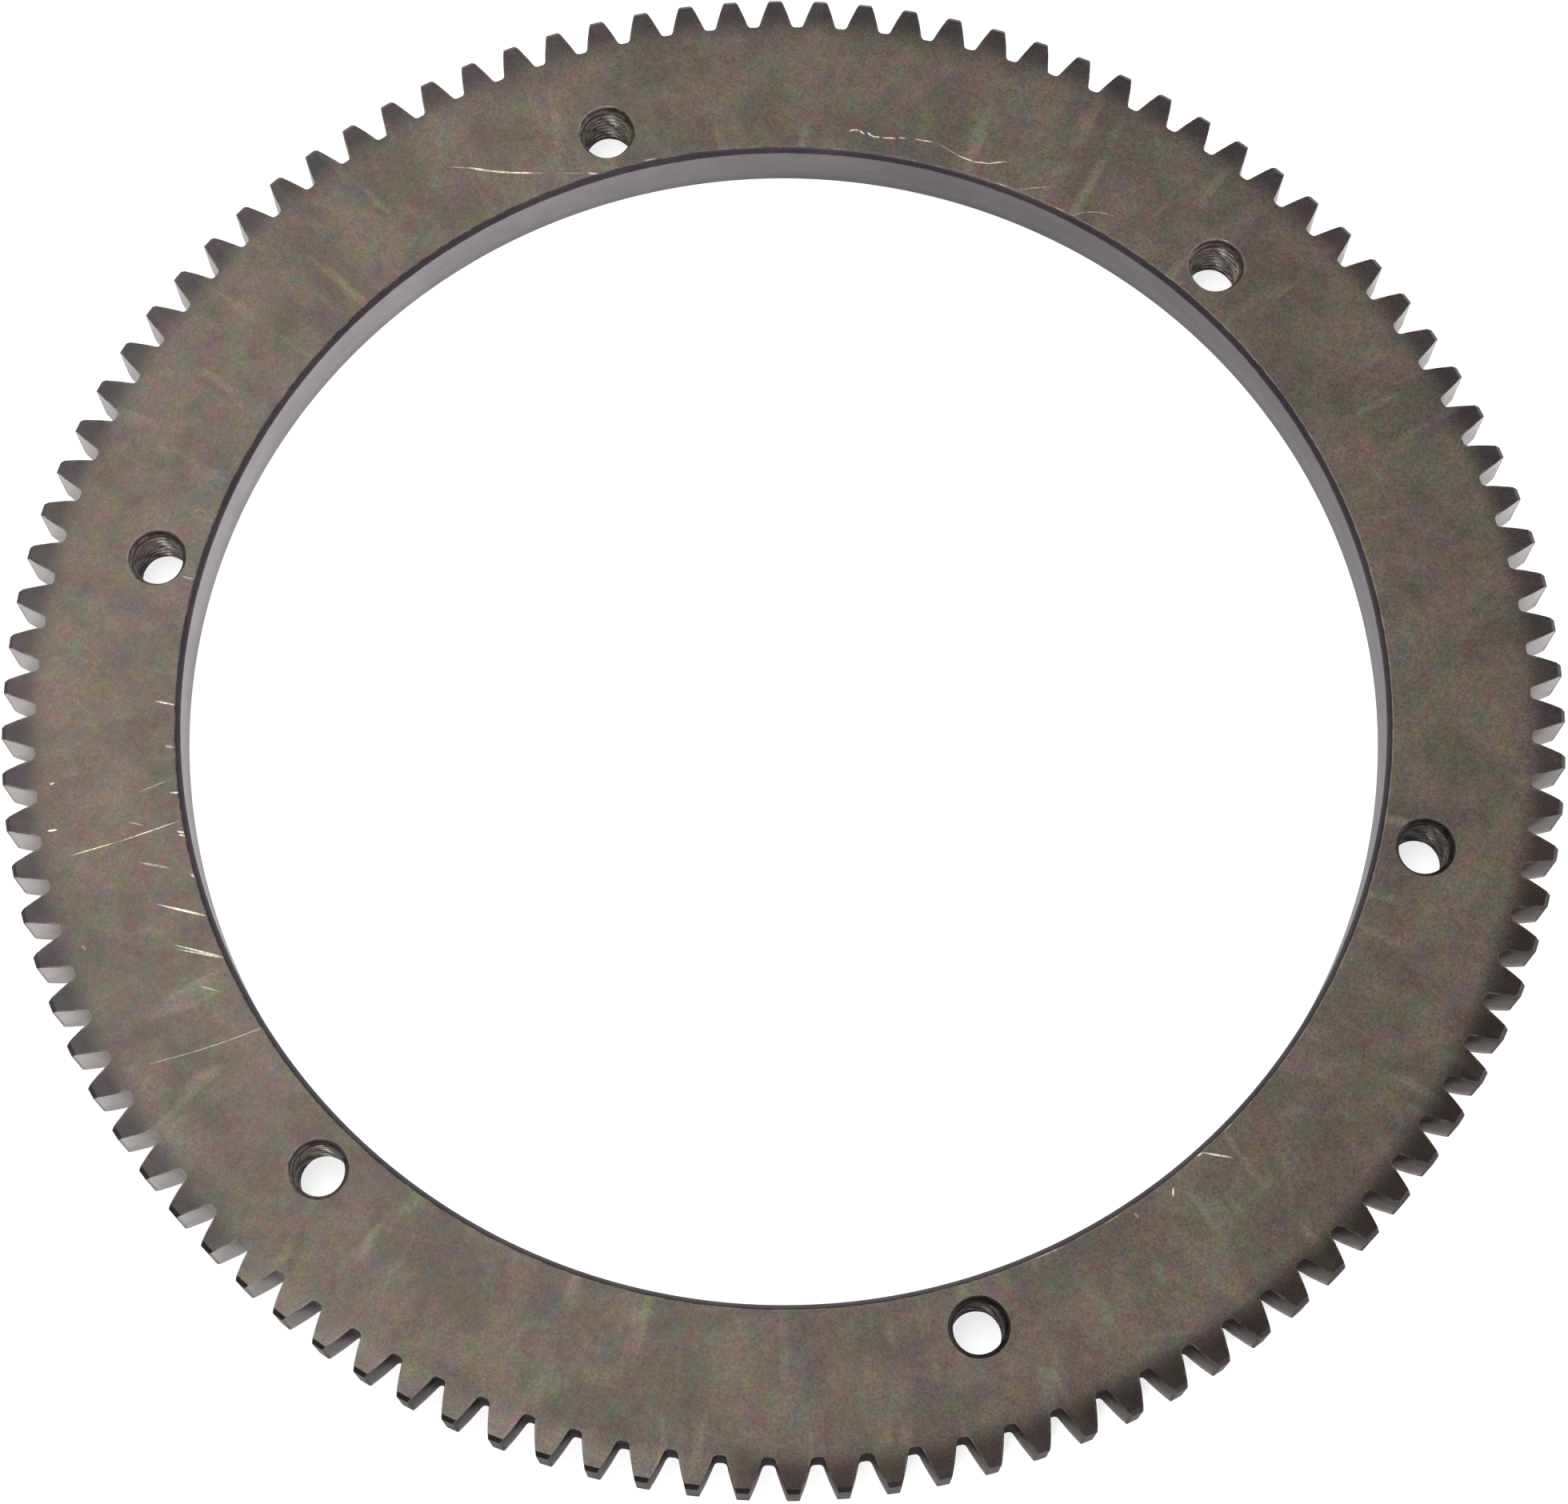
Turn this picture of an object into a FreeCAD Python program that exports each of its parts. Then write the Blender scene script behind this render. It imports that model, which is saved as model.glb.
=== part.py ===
import FreeCAD, Part
import math
import os

import Sketcher

# Starter ring gear, machined from one steel ring.
#
# The gear lies flat with its bevelled side up. The origin is on the gear's axis in the lower
# face, +Z is up and +X runs through one of the tapped holes, each of which has a tooth space
# centred outside it. Lengths are in millimetres and angles in degrees.

# Driving dimensions: value, and what it measures
DIMENSIONS = {
    "gear_module": ("2.116667", "12 diametral pitch, as 25.4 / 12"),
    "pressure_angle": ("20", "of the involute flanks"),
    "root_clearance": ("0.529", "from the mating tip to the bottom of a tooth space"),
    "root_flat_width": ("0.6", "flat bottom of a tooth space"),
    "form_height": ("0.47", "above the root, where the corner ends and the involute begins"),
    "ring_thickness": ("9.525", "3/8 in plate"),
    "bore_diameter": ("169.86", "6 11/16 in, seats on the hub that carries the ring"),
    "rim_width": ("20.374", "bore wall to tooth roots, before the teeth come to a whole number"),
    "bore_chamfer": ("0.73", "45 degrees, upper edge of the bore"),
    "bore_edge_break": ("0.15", "45 degrees, lower edge of the bore"),
    "bevel_inset": ("1.6", "how far inside the root circle the lead-in bevel starts"),
    "bevel_angle": ("2.5", "slope of the lead-in bevel over the teeth"),
    "tip_chamfer": ("0.65", "45 degrees, upper edge of the tooth tips"),
    "lower_tip_chamfer": ("0.37", "45 degrees, lower edge of the tooth tips"),
    "bolt_count": ("6", "tapped holes, equally spaced"),
    "bolt_setback": ("6.87", "bore wall to the centres of the tapped holes"),
    "thread_minor_diameter": ("6.9", "tapping size of the 5/16-24 thread"),
    "countersink_depth": ("0.75", "45 degrees, upper mouth of each tapped hole"),
    "cut_overshoot": ("0.5", "how far the tooth cutter reaches past the tips"),
}

# Values that follow from the driving dimensions
DERIVED = {
    "bore_radius": "=bore_diameter / 2",
    "tooth_count": (
        "=round(2 * (bore_radius + rim_width + root_clearance + gear_module) / gear_module)"
    ),
    "pitch_radius": "=gear_module * tooth_count / 2",
    "base_radius": "=pitch_radius * cos(pressure_angle * 1deg)",
    "outside_radius": "=pitch_radius + gear_module",
    "root_radius": "=pitch_radius - gear_module - root_clearance",
    "cutter_radius": "=outside_radius + cut_overshoot",
    "form_radius": "=root_radius + form_height",
    "middle_radius": "=(form_radius + cutter_radius) / 2",
    "half_root_flat": "=root_flat_width / 2",
    "lower_bore_edge": "=bore_radius + bore_edge_break",
    "upper_bore_edge": "=bore_radius + bore_chamfer",
    "bore_wall_top": "=ring_thickness - bore_chamfer",
    "bevel_radius": "=root_radius - bevel_inset",
    "bevel_end_radius": "=outside_radius - tip_chamfer",
    "bevel_drop": "=(bevel_end_radius - bevel_radius) * tan(bevel_angle * 1deg)",
    "bevel_end_height": "=ring_thickness - bevel_drop",
    "tip_land_top": "=bevel_end_height - tip_chamfer",
    "lower_tip_edge": "=outside_radius - lower_tip_chamfer",
    "bolt_circle_radius": "=bore_radius + bolt_setback",
    "thread_minor_radius": "=thread_minor_diameter / 2",
}

# The involute flank at three radii: half the angle of the tooth space there, and the point
FLANK_STATIONS = ("form", "middle", "cutter")
for station in FLANK_STATIONS:
    DERIVED[f"{station}_flank_angle"] = f"=acos(base_radius / {station}_radius) / 1deg"
    DERIVED[f"{station}_half_space"] = (
        f"=90 / tooth_count + pressure_angle - {station}_flank_angle"
        f" + (tan({station}_flank_angle * 1deg) - tan(pressure_angle * 1deg)) * 180 / pi"
    )
    DERIVED[f"{station}_flank_x"] = f"={station}_radius * cos({station}_half_space * 1deg)"
    DERIVED[f"{station}_flank_y"] = f"={station}_radius * sin({station}_half_space * 1deg)"

# Names for the sketcher's own geometry and point numbers
ROOT_POINT = (-1, 1)
X_AXIS = -1
START, END, CENTRE = 1, 2, 3
FULL_TURN = 360.0
SAME_LENGTH = 1e-6
UP = FreeCAD.Vector(0, 0, 1)


def make_sheet(document):
    """Put every driving and derived value in a spreadsheet, each under its own alias."""
    sheet = document.addObject("Spreadsheet::Sheet", "Sizes")
    rows = [(name, value, note) for name, (value, note) in DIMENSIONS.items()]
    rows += [(name, formula, "follows from the sizes above") for name, formula in DERIVED.items()]
    for number, (name, content, note) in enumerate(rows, start=1):
        sheet.set(f"A{number}", name)
        sheet.set(f"B{number}", content)
        sheet.set(f"C{number}", note)
        sheet.setAlias(f"B{number}", name)
    document.recompute()
    return sheet


document = FreeCAD.newDocument("StarterRingGear")
sizes = make_sheet(document)


def size(name):
    """The present value of one alias."""
    return float(sizes.get(name))


def origin_part(body, role):
    """One of the body's own origin planes or axes."""
    return next(item for item in body.Origin.OriginFeatures if item.Role == role)


def new_sketch(body, name, plane):
    """An empty sketch on one of the body's own origin planes."""
    sketch = body.newObject("Sketcher::SketchObject", name)
    sketch.AttachmentSupport = [(origin_part(body, plane), "")]
    sketch.MapMode = "FlatFace"
    return sketch


def bind(sketch, kind, *geometry, to):
    """Dimension a sketch and tie the dimension to an alias of the sheet."""
    index = sketch.addConstraint(Sketcher.Constraint(kind, *geometry, size(to)))
    sketch.setExpression(f"Constraints[{index}]", f"Sizes.{to}")


def place_point(sketch, geometry, point, across, upward):
    """Tie a sketch point to two aliases, or to the X axis where upward is None."""
    bind(sketch, "DistanceX", *ROOT_POINT, geometry, point, to=across)
    if upward is None:
        sketch.addConstraint(Sketcher.Constraint("PointOnObject", geometry, point, X_AXIS))
    else:
        bind(sketch, "DistanceY", *ROOT_POINT, geometry, point, to=upward)


def draw_outline(sketch, corners):
    """A closed outline of straight lines whose corners are pairs of aliases."""
    points = [FreeCAD.Vector(size(x), size(y) if y else 0, 0) for x, y in corners]
    lines = [
        sketch.addGeometry(Part.LineSegment(point, points[(number + 1) % len(points)]))
        for number, point in enumerate(points)
    ]
    for number, line in enumerate(lines):
        following = lines[(number + 1) % len(lines)]
        sketch.addConstraint(Sketcher.Constraint("Coincident", line, END, following, START))
        place_point(sketch, line, START, *corners[number])


def turn_blank(body):
    """The turned ring: bore, chamfers, flat faces and the bevel over the teeth."""
    section = new_sketch(body, "RingSection", "XZ_Plane")
    draw_outline(
        section,
        [
            ("lower_bore_edge", None),
            ("lower_tip_edge", None),
            ("outside_radius", "lower_tip_chamfer"),
            ("outside_radius", "tip_land_top"),
            ("bevel_end_radius", "bevel_end_height"),
            ("bevel_radius", "ring_thickness"),
            ("upper_bore_edge", "ring_thickness"),
            ("bore_radius", "bore_wall_top"),
            ("bore_radius", "bore_edge_break"),
        ],
    )
    section.Visibility = False
    blank = body.newObject("PartDesign::Revolution", "TurnedRing")
    blank.Profile = section
    blank.ReferenceAxis = (origin_part(body, "Z_Axis"), [""])
    blank.Angle = FULL_TURN
    document.recompute()


def cut_through(body, name, sketch):
    """Cut a sketch that lies in the lower face right through the ring."""
    volume_before = body.Shape.Volume
    sketch.Visibility = False
    pocket = body.newObject("PartDesign::Pocket", name)
    pocket.Profile = sketch
    pocket.Type = "ThroughAll"
    pocket.Reversed = True
    document.recompute()
    if body.Shape.Volume >= volume_before:
        raise RuntimeError(f"{name} cuts nothing")
    return pocket


def repeat_around(body, name, feature, count):
    """Repeat a cut around the gear's axis, as often as the alias says."""
    volume_before = body.Shape.Volume
    pattern = body.newObject("PartDesign::PolarPattern", name)
    pattern.Originals = [feature]
    pattern.Axis = (origin_part(body, "Z_Axis"), [""])
    pattern.Angle = FULL_TURN
    pattern.setExpression("Occurrences", f"Sizes.{count}")
    body.Tip = pattern
    document.recompute()
    if body.Shape.Volume >= volume_before:
        raise RuntimeError(f"{name} repeats nothing")
    return pattern


def drill_holes(body):
    """The tapped holes at their minor diameter, countersunk on the upper face."""
    sketch = new_sketch(body, "DrillSketch", "XY_Plane")
    centre = FreeCAD.Vector(size("bolt_circle_radius"), 0, 0)
    circle = sketch.addGeometry(Part.Circle(centre, UP, size("thread_minor_radius")))
    place_point(sketch, circle, CENTRE, "bolt_circle_radius", None)
    bind(sketch, "Radius", circle, to="thread_minor_radius")
    drill = cut_through(body, "Drill", sketch)
    holes = repeat_around(body, "BoltCircle", drill, "bolt_count")

    rims = [
        f"Edge{number}"
        for number, edge in enumerate(holes.Shape.Edges, start=1)
        if isinstance(edge.Curve, Part.Circle)
        and math.isclose(edge.Curve.Radius, size("thread_minor_radius"), abs_tol=SAME_LENGTH)
        and math.isclose(edge.Curve.Center.z, size("ring_thickness"), abs_tol=SAME_LENGTH)
    ]
    countersinks = body.newObject("PartDesign::Chamfer", "Countersinks")
    countersinks.Base = (holes, rims)
    countersinks.setExpression("Size", "Sizes.countersink_depth")
    body.Tip = countersinks
    document.recompute()


def mirrored(point):
    """The same point on the other side of the tooth space's centre line."""
    return FreeCAD.Vector(point.x, -point.y, 0)


def flank_arc(first, middle, last):
    """The arc through three points of an involute flank."""
    circle = Part.Arc(first, middle, last).toShape().Curve
    angles = [math.atan2(p.y - circle.Center.y, p.x - circle.Center.x) for p in (first, last)]
    return Part.ArcOfCircle(Part.Circle(circle.Center, UP, circle.Radius), *angles)


def draw_tooth_space(body):
    """One space between two teeth: involute flanks, cut corners and a flat root."""
    form, middle, mouth = [
        FreeCAD.Vector(size(f"{station}_flank_x"), size(f"{station}_flank_y"), 0)
        for station in FLANK_STATIONS
    ]
    root = FreeCAD.Vector(size("root_radius"), size("half_root_flat"), 0)

    sketch = new_sketch(body, "ToothSpace", "XY_Plane")
    mouth_line = sketch.addGeometry(Part.LineSegment(mirrored(mouth), mouth))
    upper_flank = sketch.addGeometry(flank_arc(form, middle, mouth))
    upper_corner = sketch.addGeometry(Part.LineSegment(form, root))
    root_line = sketch.addGeometry(Part.LineSegment(root, mirrored(root)))
    lower_corner = sketch.addGeometry(Part.LineSegment(mirrored(root), mirrored(form)))
    lower_flank = sketch.addGeometry(flank_arc(mirrored(mouth), mirrored(middle), mirrored(form)))
    middle_guide = sketch.addGeometry(Part.Point(middle), True)
    for relation in (
        ("Coincident", mouth_line, END, upper_flank, END),
        ("Coincident", upper_flank, START, upper_corner, START),
        ("Coincident", upper_corner, END, root_line, START),
        ("Coincident", root_line, END, lower_corner, START),
        ("Coincident", lower_corner, END, lower_flank, END),
        ("Coincident", lower_flank, START, mouth_line, START),
        ("PointOnObject", middle_guide, START, upper_flank),
        ("Symmetric", mouth_line, START, mouth_line, END, X_AXIS),
        ("Symmetric", root_line, START, root_line, END, X_AXIS),
        ("Symmetric", upper_flank, START, lower_flank, END, X_AXIS),
        ("Equal", upper_flank, lower_flank),
    ):
        sketch.addConstraint(Sketcher.Constraint(*relation))
    place_point(sketch, upper_flank, START, "form_flank_x", "form_flank_y")
    place_point(sketch, middle_guide, START, "middle_flank_x", "middle_flank_y")
    place_point(sketch, upper_flank, END, "cutter_flank_x", "cutter_flank_y")
    place_point(sketch, root_line, START, "root_radius", "half_root_flat")
    return sketch


def cut_teeth(body):
    """The tooth spaces, cut one after another around the rim."""
    space = cut_through(body, "ToothCut", draw_tooth_space(body))
    repeat_around(body, "Teeth", space, "tooth_count")


def check(parts):
    """Stop unless every object is sound and every part is one valid solid."""
    for item in document.Objects:
        if "Invalid" in item.State or "Error" in item.State:
            raise RuntimeError(f"{item.Name} failed: {item.State}")
        if item.TypeId == "Sketcher::SketchObject" and not item.FullyConstrained:
            raise RuntimeError(f"{item.Name} is not fully constrained")
    for part in parts:
        if part.Shape.isNull() or not part.Shape.isValid() or len(part.Shape.Solids) != 1:
            raise RuntimeError(f"{part.Label} is not one valid solid")


ring = document.addObject("PartDesign::Body", "RingGear")
ring.Label = "ring_gear"
ring.Placement = FreeCAD.Placement()
turn_blank(ring)
drill_holes(ring)
cut_teeth(ring)

PARTS = [ring]
check(PARTS)
os.makedirs("parts", exist_ok=True)
for part in PARTS:
    part.Shape.exportStep(f"parts/{part.Label}.step")
    print(part.Label, round(part.Shape.Volume, 1), "cubic mm", len(part.Shape.Faces), "faces")
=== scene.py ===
"""Looks of a starter ring gear: its surface, its finishes, the table, the light and the camera.

The gear lies flat with its bevelled side up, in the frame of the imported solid. Sizes in the
classes are in millimetres and are turned into metres when a mesh is made.
"""

import logging
from dataclasses import dataclass, field, replace
from enum import Enum

import bmesh
import bpy
import numpy as np
from mathutils import Matrix, Vector

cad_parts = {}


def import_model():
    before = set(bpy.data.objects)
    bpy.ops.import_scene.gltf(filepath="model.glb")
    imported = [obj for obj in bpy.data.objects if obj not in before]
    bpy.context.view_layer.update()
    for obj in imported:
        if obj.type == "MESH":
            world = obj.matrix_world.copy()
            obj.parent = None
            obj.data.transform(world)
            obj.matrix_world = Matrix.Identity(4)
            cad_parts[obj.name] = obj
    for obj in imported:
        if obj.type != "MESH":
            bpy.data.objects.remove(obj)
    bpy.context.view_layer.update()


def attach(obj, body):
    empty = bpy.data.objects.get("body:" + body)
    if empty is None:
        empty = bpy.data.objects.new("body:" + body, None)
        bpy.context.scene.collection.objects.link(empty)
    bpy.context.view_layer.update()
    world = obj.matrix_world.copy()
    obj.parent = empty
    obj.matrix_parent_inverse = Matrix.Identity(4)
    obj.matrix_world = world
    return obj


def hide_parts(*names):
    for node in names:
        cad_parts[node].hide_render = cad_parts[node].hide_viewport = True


LOG = logging.getLogger("ring_gear")
MM = 0.001
FULL_TURN = 2.0 * np.pi
Socket = bpy.types.NodeSocket
Span = tuple[float, float]
Triple = tuple[float, float, float]
Values = np.ndarray | float
Pair = tuple[np.ndarray, np.ndarray]


class Zone(Enum):
    """Where a face of the gear lies, which decides its finish."""

    FACE = 0
    UNDERSIDE = 1
    BORE = 2
    CHAMFER = 3
    FLANK = 4
    THREAD = 5


# Geometry


def smooth_step(values: np.ndarray) -> np.ndarray:
    """Ease from 0 to 1: three times the square less twice the cube, held outside."""
    held = np.clip(values, 0.0, 1.0)
    return held * held * (3.0 - 2.0 * held)


def heading(angle: np.ndarray) -> np.ndarray:
    """Directions in the plane, of length 1, at angles from +X in radians."""
    return np.stack([np.cos(angle), np.sin(angle)], axis=-1)


def polar(radius: Values, angle: Values, height: Values) -> np.ndarray:
    """Points at radius times cosine and sine of the angle, at the given height.

    Args:
        radius: Distances from the axis.
        angle: Angles from +X, in radians.
        height: Heights above the lower face.

    Returns:
        An array with a last axis of x, y and z.
    """
    radius, angle, height = np.broadcast_arrays(radius, angle, height)
    return np.stack([radius * np.cos(angle), radius * np.sin(angle), height], axis=-1)


def turned(points: np.ndarray, angles: np.ndarray) -> np.ndarray:
    """Copies of a grid of points, turned about the gear's axis.

    Args:
        points: A grid of points with a last axis of x, y and z.
        angles: One angle for each copy, in radians.

    Returns:
        The copies along a new first axis.
    """
    angles = angles.reshape((-1,) + (1,) * (points.ndim - 1))
    cosine, sine = np.cos(angles), np.sin(angles)
    x, y, z = np.moveaxis(points, -1, 0)
    copies = np.broadcast_arrays(x * cosine - y * sine, x * sine + y * cosine, z)
    return np.stack(copies, axis=-1)


def new_object(name: str, data: bpy.types.ID) -> bpy.types.Object:
    """An object of a mesh, lamp or camera, in the scene."""
    made = bpy.data.objects.new(name, data)
    bpy.context.scene.collection.objects.link(made)
    return made


@dataclass
class Patchwork:
    """Grids of points that are sewn into one closed mesh."""

    points: list[np.ndarray] = field(default_factory=list)
    faces: list[np.ndarray] = field(default_factory=list)
    zones: list[np.ndarray] = field(default_factory=list)
    wear: list[np.ndarray] = field(default_factory=list)
    count: int = 0

    def add(self, grid: np.ndarray, zone: Zone, wear: Values = 0.0) -> None:
        """Add a grid, or a stack of grids, as quads between neighbouring points.

        Args:
            grid: Points with axes of copies, rows, columns and x, y, z. Copies may be missing.
            zone: The finish of its faces.
            wear: How worn each point is, from 0 to 1, in a shape that spreads over the grid.
        """
        if grid.ndim == 3:
            grid = grid[None]
        copies, rows, columns, _ = grid.shape
        index = np.arange(copies * rows * columns).reshape(copies, rows, columns) + self.count
        corners = [index[:, :-1, :-1], index[:, 1:, :-1], index[:, 1:, 1:], index[:, :-1, 1:]]
        quads = np.stack(corners, axis=-1).reshape(-1, 4)
        self.points.append(grid.reshape(-1, 3))
        self.faces.append(quads)
        self.zones.append(np.full(len(quads), zone.value))
        self.wear.append(np.broadcast_to(wear, grid.shape[:3]).reshape(-1))
        self.count += copies * rows * columns

    def build(self, name: str, weld: float, crease: float) -> bpy.types.Object:
        """Weld the seams, turn all faces outwards and make the object.

        Args:
            name: The object's name.
            weld: Points nearer than this are one point, in millimetres.
            crease: Edges with a larger angle than this stay sharp, in degrees.

        Returns:
            The object, at the origin, in metres.
        """
        points = np.concatenate(self.points) * MM
        quads = np.concatenate(self.faces)
        mesh = bpy.data.meshes.new(name)
        mesh.vertices.add(len(points))
        mesh.vertices.foreach_set("co", points.astype(np.float32).reshape(-1))
        mesh.loops.add(quads.size)
        mesh.loops.foreach_set("vertex_index", quads.astype(np.int32).reshape(-1))
        mesh.polygons.add(len(quads))
        mesh.polygons.foreach_set("loop_start", np.arange(0, quads.size, 4, dtype=np.int32))
        mesh.polygons.foreach_set("material_index", np.concatenate(self.zones).astype(np.int32))
        layer = mesh.attributes.new("wear", "FLOAT", "POINT")
        layer.data.foreach_set("value", np.concatenate(self.wear).astype(np.float32))
        mesh.update(calc_edges=True)

        work = bmesh.new()
        work.from_mesh(mesh)
        bmesh.ops.remove_doubles(work, verts=work.verts, dist=weld * MM)
        bmesh.ops.dissolve_degenerate(work, edges=work.edges, dist=weld * MM)
        bmesh.ops.recalc_face_normals(work, faces=work.faces)
        open_edges = sum(1 for edge in work.edges if not edge.is_manifold)
        work.to_mesh(mesh)
        work.free()
        mesh.shade_smooth()
        mesh.set_sharp_from_angle(angle=np.radians(crease))
        mesh.update()
        triangles = sum(len(polygon.vertices) - 2 for polygon in mesh.polygons)
        LOG.info("%s: %d triangles, %d open edges", name, triangles, open_edges)
        return new_object(name, mesh)


@dataclass
class ToothForm:
    """One involute tooth with its root fillets, in the plane of the gear.

    The points over a tooth lie at the shares in across of the way from flank to flank.
    """

    count: int = 102
    module: float = 2.116667
    pressure_angle: float = 20.0
    root_clearance: float = 0.529
    fillet_radius: float = 0.6
    corner_radius: float = 0.14
    tip_chamfer: float = 0.65
    fillet_steps: int = 3
    flank_steps: int = 5
    corner_steps: int = 3
    across: Triple = (0.12, 0.5, 0.88)
    search_points: int = 4000
    search_margins: Span = (0.02, 0.01)

    def __post_init__(self) -> None:
        """Work out the circles that the tooth is drawn on, and where its foot is."""
        self.pitch = FULL_TURN / self.count
        self.pitch_radius = self.module * self.count / 2.0
        self.base_radius = self.pitch_radius * np.cos(np.radians(self.pressure_angle))
        self.tip_radius = self.pitch_radius + self.module
        self.root_radius = self.pitch_radius - self.module - self.root_clearance
        self.foot = 1 + self.fillet_steps

    def flank(self, radius: np.ndarray) -> Pair:
        """The involute flank on the far side of the space that is centred on angle 0.

        At a radius the flank's pressure angle is the arc cosine of base radius over radius, and
        half the space's angle grows by the difference of the involute function, tangent less
        angle, from that at the pitch circle.

        Args:
            radius: Radii on the flank.

        Returns:
            The flank's points in the plane, and its normals, which point into the space.
        """
        standard = np.radians(self.pressure_angle)
        local = np.arccos(self.base_radius / radius)
        grown = (np.tan(local) - local) - (np.tan(standard) - standard)
        half_space = self.pitch / 4.0 + grown
        return radius[:, None] * heading(half_space), heading(half_space + local - np.pi / 2.0)

    def round_off(self, circle: float, radius: float, radii: np.ndarray,
                  steps: int) -> tuple[float, np.ndarray, np.ndarray]:
        """The round that joins the flank to the root circle or the tip circle.

        Its centre is one radius off the flank and off the circle. Its normals turn from straight
        out at the circle to the flank's own.

        Args:
            circle: The radius of the circle.
            radius: The round's radius, below 0 for a round with its centre in the steel.
            radii: Radii on the flank, among which the point of touch is searched.
            steps: How many chords it has.

        Returns:
            The radius of the point of touch, the round's points and its normals.
        """
        points, normals = self.flank(radii)
        centres = points + radius * normals
        touch = int(np.argmin(np.abs(np.hypot(*centres.T) - circle - radius)))
        start, end = (np.arctan2(way[touch, 1], way[touch, 0]) for way in (centres, normals))
        facing = heading(np.linspace(start, end, steps + 1))
        return radii[touch], centres[touch] - radius * facing, facing

    def half_outline(self) -> Pair:
        """The outline from the middle of a space to the start of the tip land.

        Returns:
            Its points, and its normals out of the steel.
        """
        lowest = self.root_radius + self.search_margins[0]
        highest = self.tip_radius - self.search_margins[1]
        low = np.linspace(lowest, self.pitch_radius, self.search_points)
        high = np.linspace(self.pitch_radius, highest, self.search_points)
        foot, fillet, fillet_normals = self.round_off(
            self.root_radius, self.fillet_radius, low, self.fillet_steps
        )
        head, corner, corner_normals = self.round_off(
            self.tip_radius, -self.corner_radius, high, self.corner_steps
        )
        chamfer_start = self.tip_radius - self.tip_chamfer
        stations = np.linspace(foot, chamfer_start, self.flank_steps + 1)[1:]
        points, normals = self.flank(np.append(stations, (chamfer_start + head) / 2.0))
        middle = [[self.root_radius, 0.0]]
        outline = np.concatenate([middle, fillet, points, corner[::-1]])
        facing = np.concatenate([[[1.0, 0.0]], fillet_normals, normals, corner_normals[::-1]])
        return outline, facing


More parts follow.
